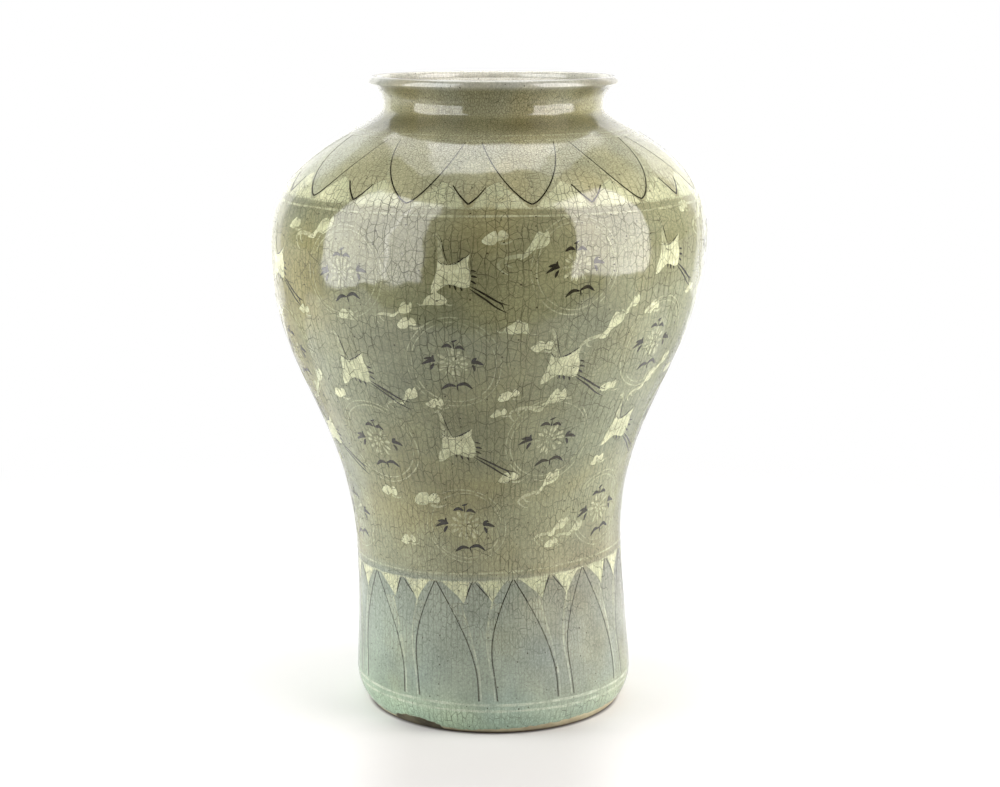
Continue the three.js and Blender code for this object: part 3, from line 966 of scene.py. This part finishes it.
def build_lappets():
    place = band_place(lappet_tilt)
    pitch = 360 / LAPPET_COUNT
    ground, line, borders, stems, outlines = Slip(), Slip(), Slip(), Slip(), Slip()
    line_all_round(line, LAPPET_LINE, LINE_WIDTH, tilted)
    for number in range(LAPPET_COUNT):
        tip = LAPPET_ANGLE + pitch * number
        for side in (-1, 1):
            corners = SPANDRELS[side]
            ground.fill(band_outline(tip, corners[:4], corners[3:], (corners[-1], corners[0])), place)
            stem = [lappet_stem(side, share) for share in (0.19, 0.25, 0.35, 0.5, 0.65, 0.8, 1.0)]
            stems.stroke(band_path(tip, stem), taper(1.1, 0.7), place)
            edge = [lappet_edge(side, share) for share in (0.01, 0.08, 0.2, 0.35, 0.5, 0.65, 0.8, 1.0)]
            outlines.stroke(band_path(tip, edge), taper(0.55, 0.85), place)
            inner = edge[:1:-1]
            border = band_outline(tip, stem, (stem[-1], inner[0]), inner, (inner[-1], stem[0]))
            borders.fill(border, place)
        small = tip + pitch / 2
        leaf = ((-0.4, 94.5), (-2.6, 87.6), (-3.4, 83.5))
        outlines.stroke(band_path(small, leaf), brush(0.75), place)
        leaf = ((0.6, 94.0), (3.4, 89.0), (6.0, 84.5))
        outlines.stroke(band_path(small, leaf), brush(0.7), place)
    ground.make("lappet_ground_inlay", white_slip, "lappet_ground")
    line.make("lappet_ground_line", faint_slip)
    borders.make("lappet_borders", wash_slip)
    stems.make("lappet_stems", thin_slip)
    outlines.make("lappet_outlines", black_slip)


# Cranes, roundels and clouds on the body: outlines, and strokes with their widths

CRANE_BODY = (
    ((-8.6, 8.6), (-9.2, 3.5), (-10.6, -1.5), (-12.2, -5.5), (-12.6, -9.6)),
    ((-12.6, -9.6), (-9.8, -8.9), (-6.5, -6.6), (-2.8, -5.0), (1.0, -5.8), (5.0, -7.2), (8.4, -6.6)),
    ((8.4, -6.6), (9.3, -2.5), (9.0, 2.0), (7.9, 5.8), (8.8, 10.9)),
    ((8.8, 10.9), (4.5, 8.3), (0.5, 6.6), (-2.6, 5.6)),
    ((-2.6, 5.6), (-5.8, 6.4), (-8.6, 8.6)),
)
CRANE_NECK = (
    ((-2.6, 5.6), (-4.9, 9.0), (-6.3, 13.5), (-6.5, 17.5), (-7.2, 20.6), (-8.6, 22.8)),
    ((-8.6, 22.8), (-9.6, 23.0), (-12.2, 21.6)),
    ((-12.2, 21.6), (-9.6, 20.4), (-8.8, 17.5), (-8.9, 13.0), (-8.6, 8.6)),
    ((-8.6, 8.6), (-5.8, 6.4), (-2.6, 5.6)),
)
CRANE_STROKES = (
    (((-2.8, 5.6), (-4.6, 10.5), (-6.2, 16.0), (-7.2, 20.0), (-9.4, 23.2)), 0.45),
    (((-9.0, 8.4), (-6.2, 6.4), (-2.8, 5.6)), 1.0),
    (((-2.8, 5.6), (2.0, 7.0), (8.0, 10.4)), 0.9),
    (((9.2, 2.3), (10.6, 2.1), (12.4, 1.5)), 1.0),
    (((9.2, -0.6), (11.0, -1.0), (13.0, -1.7)), 1.2),
    (((9.0, -3.2), (10.6, -4.0), (12.2, -5.2)), 1.1),
    (((0.2, -5.4), (0.9, -6.8), (1.3, -8.4)), 1.2),
    (((3.6, -6.6), (4.3, -7.6), (4.6, -9.0)), 1.1),
    (((-2.4, -4.9), (-2.0, -6.0), (-2.0, -7.2)), 1.0),
    (((8.6, -6.0), (17.1, -11.2), (23.8, -15.5), (30.2, -18.0)), 1.15),
    (((8.2, -7.4), (17.1, -13.9), (23.0, -18.7), (29.2, -22.3)), 1.05),
    (((23.0, -15.2), (26.0, -17.2), (27.0, -20.0)), 0.8),
)
ROUNDEL_LEAVES = (
    (((-10.0, 0.5), (-13.5, 0.4), (-18.0, -1.9)), 1.9),
    (((-10.0, 0.7), (-13.0, 2.0), (-16.6, 1.6)), 1.9),
    (((-10.6, -0.8), (-12.0, -2.8), (-12.8, -5.0)), 1.7),
    (((-10.8, 1.4), (-11.6, 2.6), (-11.2, 4.2)), 1.5),
    (((10.0, 0.6), (11.6, 2.4), (13.0, 3.4)), 1.8),
    (((10.0, 0.2), (13.0, 0.9), (16.8, -0.6)), 2.1),
    (((10.4, -0.8), (11.6, -2.4), (11.8, -4.6)), 1.7),
    (((-0.6, 8.8), (-3.4, 10.3), (-6.6, 8.8)), 2.0),
    (((0.8, 8.6), (3.6, 9.6), (6.2, 7.8)), 1.9),
    (((0.0, 8.0), (0.1, 10.5), (0.0, 12.4)), 0.7),
    (((-1.4, 12.2), (0.2, 12.7), (2.2, 13.6)), 1.1),
    (((1.6, -14.0), (-2.6, -13.4), (-7.0, -16.4)), 2.0),
    (((1.6, -13.6), (6.4, -12.2), (10.6, -15.2)), 2.0),
    (((2.0, -12.8), (2.1, -14.6), (2.5, -17.0)), 0.8),
)
RING_RADII = (23.5, 26.3)
RING_WIDTH = 0.75
RING_SIZES = (0.86, 0.97, 1.0, 1.0)
# The two rings of petals in a roundel's flower: their count, where they start and end, and their width
FLOWER_RINGS = ((12, 4.3, 9.2, 1.9), (8, 1.1, 3.9, 1.4))
CLOUD_OUTLINES = {
    "puff": (
        (-6.4, -1.0), (-4.8, 1.2), (-2.6, 2.8), (-0.4, 3.2), (0.6, 1.2), (1.8, 2.8),
        (3.8, 2.6), (4.8, 0.4), (3.4, -1.4), (0.6, -1.0), (-1.4, -2.4), (-4.4, -2.2),
    ),
    "dome": (
        (-6.0, -2.8), (-5.0, -0.4), (-3.0, 1.6), (-1.0, 2.4), (0.4, 3.8), (1.6, 2.4),
        (4.0, 1.8), (5.8, -0.6), (5.6, -2.4), (2.0, -3.0), (-2.0, -3.2),
    ),
    "wisp": (
        (-4.6, -4.0), (-3.0, -2.0), (-0.6, -0.2), (1.0, 3.0), (3.2, 5.0), (4.6, 3.8),
        (5.8, 5.8), (7.2, 3.6), (6.2, 0.8), (3.6, -0.8), (0.4, -1.4), (-1.6, -3.8),
    ),
}
CLOUD_TAILS = {
    "puff": (
        (((0.4, -2.0), (3.0, -2.8), (5.4, -2.6), (7.4, -1.8)), 1.3),
    ),
    "dome": (
        (((-4.6, -2.8), (-7.6, -3.4), (-9.4, -2.2)), 1.0),
        (((4.8, -2.2), (7.4, -3.2), (9.8, -2.6)), 1.0),
    ),
    "wisp": (
        (((-2.0, -2.8), (-6.0, -3.0), (-10.0, -3.6), (-12.4, -5.4), (-11.2, -7.8), (-8.8, -9.4)), 1.5),
        (((-10.0, -3.6), (-9.4, -5.8), (-7.2, -6.8)), 0.9),
    ),
}
# Each cloud's kind, its degrees from the front, its height and its size
CLOUD_PLACES = (
    ("puff", 2.0, 298.8, 1.0), ("wisp", 10.5, 294.0, 1.25), ("dome", 8.1, 250.0, 1.0),
    ("wisp", 33.3, 247.3, 1.2), ("puff", 15.3, 238.0, 0.9), ("puff", 7.9, 209.4, 0.9),
    ("wisp", 18.9, 205.0, 1.3), ("puff", 39.0, 210.0, 0.9), ("puff", -13.6, 204.0, 0.8),
    ("wisp", -22.8, 207.0, 0.9), ("puff", -39.1, 144.5, 0.9), ("puff", -22.1, 142.5, 1.2),
    ("puff", -33.6, 115.8, 0.8), ("puff", 9.4, 157.4, 0.9), ("wisp", 22.7, 152.5, 1.1),
    ("wisp", 29.3, 124.0, 0.9), ("wisp", 37.3, 121.5, 0.8), ("puff", 27.5, 115.0, 0.7),
    ("wisp", -21.9, 258.0, 0.9), ("dome", -12.4, 265.5, 0.9), ("puff", -19.4, 251.0, 0.9),
    ("puff", -37.1, 253.5, 0.8), ("puff", -54.2, 252.0, 0.8), ("wisp", -47.7, 299.0, 1.3),
    ("puff", -58.6, 299.5, 0.9), ("puff", 47.7, 255.0, 0.9), ("wisp", 39.0, 258.0, 0.8),
    ("wisp", -58.5, 210.0, 0.9), ("puff", -48.0, 203.5, 0.9), ("puff", 45.6, 163.0, 0.8),
    ("puff", 5.1, 198.5, 0.7), ("wisp", 56.0, 209.0, 0.9),
)
CLOUD_TURNS = 3
CLOUD_SIZE = 1.2


def every_second(first):
    """The angles of every second column of the lattice, from its first or second one."""
    pitch = 360 / COLUMN_COUNT
    return [COLUMN_ANGLE + pitch * column for column in range(first, COLUMN_COUNT, 2)]


def crane_places():
    return [(degrees, ROW_HEIGHTS[row] - CRANE_DROPS[row])
            for row in (1, 2, 3) for degrees in every_second((row + 1) % 2)]


def build_cranes():
    necks, strokes = Slip(), Slip()
    for number, (degrees, height) in enumerate(crane_places(), 1):
        place = motif_place(degrees, height)
        necks.fill(corner_outline(*CRANE_NECK), place)
        body = Slip()
        body.fill(corner_outline(*CRANE_BODY), place)
        node = f"crane_{number:02d}"
        body.make(node + "_inlay", white_slip, node)
        for path, widest in CRANE_STROKES:
            strokes.stroke(smooth(path), brush(widest), place)
    necks.make("crane_necks", faint_slip)
    strokes.make("crane_strokes", black_slip)


def round_point(reach, turn):
    return reach * math.cos(turn), reach * math.sin(turn)


def ring_path(radius):
    """A hand-drawn circle, a little out of round."""
    count = 96
    uneven = 0.45
    phase = hand.uniform(0, 2 * math.pi)
    path = []
    for step in range(count):
        turn = 2 * math.pi * step / count
        sway = math.sin(2 * turn + phase) + 0.4 * math.sin(5 * turn + 2 * phase)
        path.append(round_point(radius + uneven * sway, turn))
    return path


def flower_petals(slip, place):
    """A chrysanthemum: a ring of petals round a ring of smaller ones."""
    for count, start, end, width in FLOWER_RINGS:
        for petal in range(count):
            turn = 2 * math.pi * (petal + hand.uniform(-0.18, 0.18)) / count
            reach = end * hand.uniform(0.88, 1.08)
            path = [round_point(radius, turn) for radius in (start, (start + reach) / 2, reach)]
            slip.stroke(smooth(path), brush(width, 0.65), place)


def build_roundels():
    rings, flowers, leaves = Slip(), Slip(), Slip()
    for row, height in enumerate(ROW_HEIGHTS):
        for degrees in every_second(row % 2):
            place = motif_place(degrees, height, turn=hand.uniform(-4, 4))
            ring_place = motif_place(degrees, height, size=RING_SIZES[row])
            for radius in RING_RADII:
                rings.stroke(ring_path(radius), taper(RING_WIDTH, RING_WIDTH), ring_place, closed=True)
            flower_petals(flowers, place)
            for path, widest in ROUNDEL_LEAVES:
                leaves.stroke(smooth(path), brush(widest), place)
    rings.make("roundel_rings", faint_slip)
    flowers.make("roundel_flowers", thin_slip)
    leaves.make("roundel_leaves", black_slip)


def build_clouds():
    clouds, tails = Slip(), Slip()
    for repeat in range(CLOUD_TURNS):
        for kind, degrees, height, size in CLOUD_PLACES:
            flat_height = height - band_lift(math.radians(degrees), height)
            degrees += 360 / CLOUD_TURNS * repeat
            place = motif_place(degrees, flat_height, hand.uniform(-10, 10), CLOUD_SIZE * size)
            outline = [(across + hand.uniform(-0.6, 0.6), up + hand.uniform(-0.5, 0.5))
                       for across, up in CLOUD_OUTLINES[kind]]
            clouds.fill(smooth(outline, closed=True), place)
            for tail, widest in CLOUD_TAILS[kind]:
                tails.stroke(smooth(tail), brush(widest, 0.2), place)
    clouds.make("clouds", white_slip)
    tails.make("cloud_tails", thin_slip)


# Floor, light and camera, with sizes in metres

# Paper: plain, with a painted shadow in front of the vase, and with a painted contact shadow round the foot
PAPER, PAPER_SHADED, PAPER_CONTACT_SHADOW = (0.800, 0.793, 0.782), (0.640, 0.630, 0.615), (0.060, 0.052, 0.044)
FOOT_CENTRE = (MM * axis_offset(0), 0, 0)
TABLE_EDGE = -0.47
ROOM_DIM, ROOM_PALE = 0.08, 0.72
WARM_WHITE = (1.0, 0.958, 0.955)
COOL_WHITE = (0.95, 0.985, 1.0)


def ray_kinds(tree):
    """Numbers that are 1 for what the camera sees, for reflections, for bounced and for transmitted light."""
    outputs = add_node(tree, "ShaderNodeLightPath").outputs
    return [Value(outputs[f"Is {kind} Ray"]) for kind in ("Camera", "Glossy", "Diffuse", "Transmission")]


def floor_material():
    """Paper with a painted shadow in front of the vase and a painted contact shadow round its foot, plain
    white farther off.

    To the camera it turns to a pale room beside the sweep behind the vase, and reflections show a dim room
    past the table's front edge.
    """
    material = new_material("floor_white")
    tree = material.node_tree
    camera, glossy, diffuse, transmitted = ray_kinds(tree)
    place = work_out(tree, "ShaderNodeTexCoord", output="Object")
    across, deep, _ = place.parts()
    aside = abs(across)
    # Painted shadow: the paper is darker in a soft patch just in front of the vase
    in_front = deep.remap(-0.07, -0.05, 1.0, 0.0) * deep.ease(-0.32, -0.16)
    shaded = in_front * aside.ease(0.040, 0.100, 1.0, 0.0)
    # Painted contact shadow: a dark ring on the paper close round the foot
    from_foot = place.vector("SUBTRACT", FOOT_CENTRE).length()
    contact = from_foot.ease(MM * (FOOT_RADIUS + 0.3), MM * (FOOT_RADIUS + 3.5), 0.75, 0.0)
    colour = contact.blend(shaded.blend(PAPER, PAPER_SHADED), PAPER_CONTACT_SHADOW)
    paper = work_out(tree, "ShaderNodeBsdfDiffuse", {"Color": colour})
    sweep_start, sweep_spread, sweep_fade = 1.3, 0.3, 0.6
    sweep_half = (deep + sweep_start) * sweep_spread
    beside_sweep = (aside - sweep_half).ease(0.0, sweep_fade, 1.0, ROOM_PALE)
    strength = camera.mix(1.0, beside_sweep)
    white = work_out(tree, "ShaderNodeEmission", {"Color": WHITE, "Strength": strength})
    far = place.length().ease(0.2, 0.75)
    table = (far * camera.most(glossy).most(transmitted)).shade(paper, white)
    room = work_out(tree, "ShaderNodeEmission", {"Color": WHITE, "Strength": ROOM_DIM})
    past_edge = deep.remap(TABLE_EDGE - 0.03, TABLE_EDGE + 0.03, 1.0, 0.0) * glossy.most(diffuse)
    return set_surface(material, past_edge.shade(table, room))


def build_floor():
    half = 6.0
    below_foot = 0.00005
    corners = [(-half, -half, 0), (half, -half, 0), (half, half, 0), (-half, half, 0)]
    mesh = bpy.data.meshes.new("floor")
    mesh.from_pydata(corners, [], [(0, 1, 2, 3)])
    mesh.materials.append(floor_material())
    floor = bpy.data.objects.new("floor", mesh)
    floor.location.z = -below_foot
    bpy.context.scene.collection.objects.link(floor)


def build_world():
    """White behind the vase, and a room elsewhere that is dim in reflections and pale to the camera."""
    even_fill = 0.08
    world = bpy.data.worlds.new("studio")
    bpy.context.scene.world = world
    world.use_nodes = True
    tree = world.node_tree
    tree.nodes.clear()
    camera, glossy, _, transmitted = ray_kinds(tree)
    behind = work_out(tree, "ShaderNodeTexCoord", output="Generated").parts()[1]
    seen = camera.most(transmitted)
    strength = seen.mix(behind.ease(0.45, 0.75, ROOM_DIM, 1.0), behind.ease(0.5, 0.9, ROOM_PALE, 1.0))
    background = work_out(tree, "ShaderNodeBackground", {"Color": WHITE, "Strength": strength})
    ambient = work_out(tree, "ShaderNodeBackground", {"Color": WHITE, "Strength": even_fill})
    add_node(tree, "ShaderNodeOutputWorld", {"Surface": seen.most(glossy).shade(ambient, background)})


def add_lamp(name, location, aim, size, colour, radiance, mirrored):
    """A lit rectangle, either for what it casts on the vase or for what the glaze mirrors of it."""
    lamp = bpy.data.lights.new(name, "AREA")
    lamp.shape = "RECTANGLE"
    lamp.size, lamp.size_y = size
    lamp.energy = radiance * math.pi * size[0] * size[1]
    lamp.color = colour
    box = bpy.data.objects.new(name, lamp)
    box.location = location
    box.rotation_euler = (Vector(aim) - Vector(location)).to_track_quat("-Z", "Y").to_euler()
    box.visible_camera = False
    box.visible_diffuse = not mirrored
    box.visible_glossy = mirrored
    bpy.context.scene.collection.objects.link(box)


def add_softbox(name, azimuth, distance, height, size, colour, light, shine, aim_height):
    """A softbox that faces the vase; azimuth 0 is the front and grows to the right.

    light is what it casts, and shine is what the glaze mirrors of it, from a little nearer.
    """
    nearer = 0.004
    angle = math.radians(azimuth)
    for kind, radiance, reach in (("light", light, distance), ("shine", shine, distance - nearer)):
        if radiance:
            location = (reach * math.sin(angle), -reach * math.cos(angle), height)
            add_lamp(f"{name}_{kind}", location, (0, 0, aim_height), size, colour, radiance, kind == "shine")


def build_lights():
    """Softboxes at both sides, a panel above, rim lights, low lamps, and the table's glow in the glaze."""
    add_softbox("left_main", -68, 0.82, 0.68, (0.55, 1.20), WHITE, 3.7, 7.4, 0.68)
    add_softbox("left_inner", -40.5, 0.82, 0.68, (0.29, 1.20), WHITE, 1.2, 6.6, 0.68)
    add_softbox("right_main", 63.5, 0.82, 0.68, (0.65, 1.22), WARM_WHITE, 4.4, 8.4, 0.68)
    add_softbox("rim_left", -152, 1.0, 0.45, (0.7, 0.9), WHITE, 0.8, 0.9, 0.4)
    add_softbox("rim_right", 152, 1.0, 0.45, (0.7, 0.9), WHITE, 0.8, 1.0, 0.4)
    add_softbox("top_panel", 180, 0.40, 1.30, (0.95, 0.95), WHITE, 3.4, 2.2, 0.35)
    add_softbox("top_inner", 180, 0.40, 1.29, (0.62, 0.95), WHITE, 0, 3.4, 0.35)
    add_softbox("side_left", -95, 0.85, 0.17, (0.6, 0.6), WHITE, 8.4, 0, 0.2)
    add_softbox("side_right", 82, 0.85, 0.17, (0.7, 0.6), WHITE, 7.6, 0, 0.2)
    outer, depth, back = 0.9, 0.70, -0.1
    lowest, step = 0.004, 0.002
    for number, inner in enumerate((0.18, 0.27, 0.37, 0.48)):
        size = (outer - inner, depth)
        height = lowest + step * number
        for name, side, glow in (("table_left", -1, 0.30), ("table_right", 1, 0.18)):
            middle = side * (outer + inner) / 2
            location, aim = (middle, back, height), (middle, back, 1)
            add_lamp(f"{name}_{number}", location, aim, size, COOL_WHITE, glow, True)


def build_camera():
    lens = bpy.data.cameras.new("camera")
    lens.sensor_width = 36
    lens.lens = 74.37
    look_down = 11.02
    camera = bpy.data.objects.new("camera", lens)
    camera.location = (0.0067, -1.2304, 0.4286)
    camera.rotation_euler = (math.radians(90 - look_down), 0, 0)
    bpy.context.scene.collection.objects.link(camera)
    bpy.context.scene.camera = camera


build_sections()
build_lines()
build_petals()
build_lappets()
build_cranes()
build_roundels()
build_clouds()
build_floor()
build_world()
build_lights()
build_camera()
bpy.context.scene.view_settings.view_transform = "Standard"
